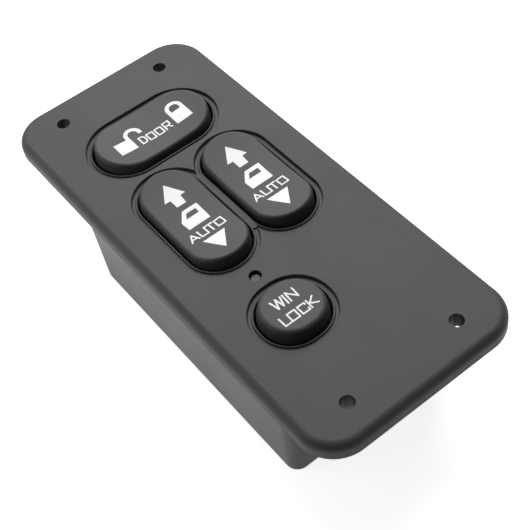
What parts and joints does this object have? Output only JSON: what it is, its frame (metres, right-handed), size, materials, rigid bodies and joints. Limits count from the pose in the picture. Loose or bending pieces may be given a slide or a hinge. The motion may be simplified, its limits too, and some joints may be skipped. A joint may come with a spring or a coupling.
{
  "type": "power window switch",
  "caption": "Vehicle door and window switch panel: rounded face plate with rocker keys, a lock push button and a deep housing behind it.",
  "frame": {"origin": "centre of the four fixing holes, on the plane of the face panel's foot", "axes": "+Z out of the face, +Y along the panel towards the door lock rocker, +X to the right of the face"},
  "size_m": [0.062, 0.1454, 0.0369],
  "materials": {
    "panel_plastic": "fine matt grain",
    "key_plastic": "soft touch matt",
    "housing_plastic": "satin moulded",
    "carrier_plastic": "satin moulded",
    "white_plastic": "slippery moulded",
    "clear_plastic": "smoky clear",
    "relay_plastic": "satin case",
    "board_laminate": "green laminate",
    "contact_brass": "bright strip",
    "spring_steel": "drawn wire",
    "screw_steel": "zinc plated",
    "can_aluminium": "bright can"
  },
  "bodies": {
    "base": {"face_bezel": "panel_plastic", "housing": "housing_plastic", "switch_carrier": "carrier_plastic", "circuit_board": "board_laminate", "lock_switch_body": "carrier_plastic", "lock_return_spring": "spring_steel", "indicator_light_guide": "clear_plastic", "indicator_led": "white_plastic", "connector_header": "carrier_plastic", "connector_terminals": "contact_brass", "left_window_relay": "relay_plastic", "right_window_relay": "relay_plastic", "filter_capacitor": "can_aluminium", "control_chip": "carrier_plastic", "carrier_screws": "screw_steel", "housing_screws": "screw_steel", "door_pivot_pin": "screw_steel", "left_window_pivot_pin": "screw_steel", "right_window_pivot_pin": "screw_steel"},
    "door_rocker": {"door_lock_rocker": "key_plastic", "door_detent_spring": "spring_steel"},
    "left_rocker": {"left_window_rocker": "key_plastic", "left_window_detent_spring": "spring_steel"},
    "right_rocker": {"right_window_rocker": "key_plastic", "right_window_detent_spring": "spring_steel"},
    "door_slider": {"door_contact_slider": "white_plastic", "door_contact_spring": "contact_brass"},
    "left_slider": {"left_window_contact_slider": "white_plastic", "left_window_contact_spring": "contact_brass"},
    "right_slider": {"right_window_contact_slider": "white_plastic", "right_window_contact_spring": "contact_brass"},
    "door_plunger": {"door_detent_plunger": "white_plastic"},
    "left_plunger": {"left_window_detent_plunger": "white_plastic"},
    "right_plunger": {"right_window_detent_plunger": "white_plastic"},
    "lock_button": {"window_lock_button": "key_plastic", "lock_switch_plunger": "white_plastic"}
  },
  "joints": [
    {"name": "door_rocker_tilt", "type": "hinge", "parent": "base", "child": "door_rocker", "pos_m": [0, 0.0419, -0.001], "axis": [0, 1, 0], "range_deg": [-6, 6], "stiffness_Nm_per_rad": 0.3},
    {"name": "left_rocker_tilt", "type": "hinge", "parent": "base", "child": "left_rocker", "pos_m": [-0.01045, 0.0066, -0.001], "axis": [1, 0, 0], "range_deg": [-6, 6], "stiffness_Nm_per_rad": 0.3},
    {"name": "right_rocker_tilt", "type": "hinge", "parent": "base", "child": "right_rocker", "pos_m": [0.01045, 0.0066, -0.001], "axis": [1, 0, 0], "range_deg": [-6, 6], "stiffness_Nm_per_rad": 0.3},
    {"name": "lock_button_press", "type": "slide", "parent": "base", "child": "lock_button", "axis": [0, 0, -1], "range_m": [0, 0.0022], "stiffness_N_per_m": 500, "springref_m": -0.003, "deforming": ["lock_return_spring"]},
    {"name": "door_contact_slide", "type": "slide", "parent": "base", "child": "door_slider", "axis": [1, 0, 0], "range_m": [-0.00102, 0.00102]},
    {"name": "left_contact_slide", "type": "slide", "parent": "base", "child": "left_slider", "axis": [0, 1, 0], "range_m": [-0.00102, 0.00102]},
    {"name": "right_contact_slide", "type": "slide", "parent": "base", "child": "right_slider", "axis": [0, 1, 0], "range_m": [-0.00102, 0.00102]},
    {"name": "door_detent_press", "type": "slide", "parent": "door_rocker", "child": "door_plunger", "axis": [0, 0, 1], "range_m": [0, 0.0004], "stiffness_N_per_m": 800, "springref_m": -0.001, "deforming": ["door_detent_spring"]},
    {"name": "left_detent_press", "type": "slide", "parent": "left_rocker", "child": "left_plunger", "axis": [0, 0, 1], "range_m": [0, 0.0004], "stiffness_N_per_m": 800, "springref_m": -0.001, "deforming": ["left_window_detent_spring"]},
    {"name": "right_detent_press", "type": "slide", "parent": "right_rocker", "child": "right_plunger", "axis": [0, 0, 1], "range_m": [0, 0.0004], "stiffness_N_per_m": 800, "springref_m": -0.001, "deforming": ["right_window_detent_spring"]}
  ],
  "couplings": [
    {"joint": "door_contact_slide", "follows": "door_rocker_tilt", "m_per_rad": -0.0093},
    {"joint": "left_contact_slide", "follows": "left_rocker_tilt", "m_per_rad": 0.0093},
    {"joint": "right_contact_slide", "follows": "right_rocker_tilt", "m_per_rad": 0.0093}
  ]
}
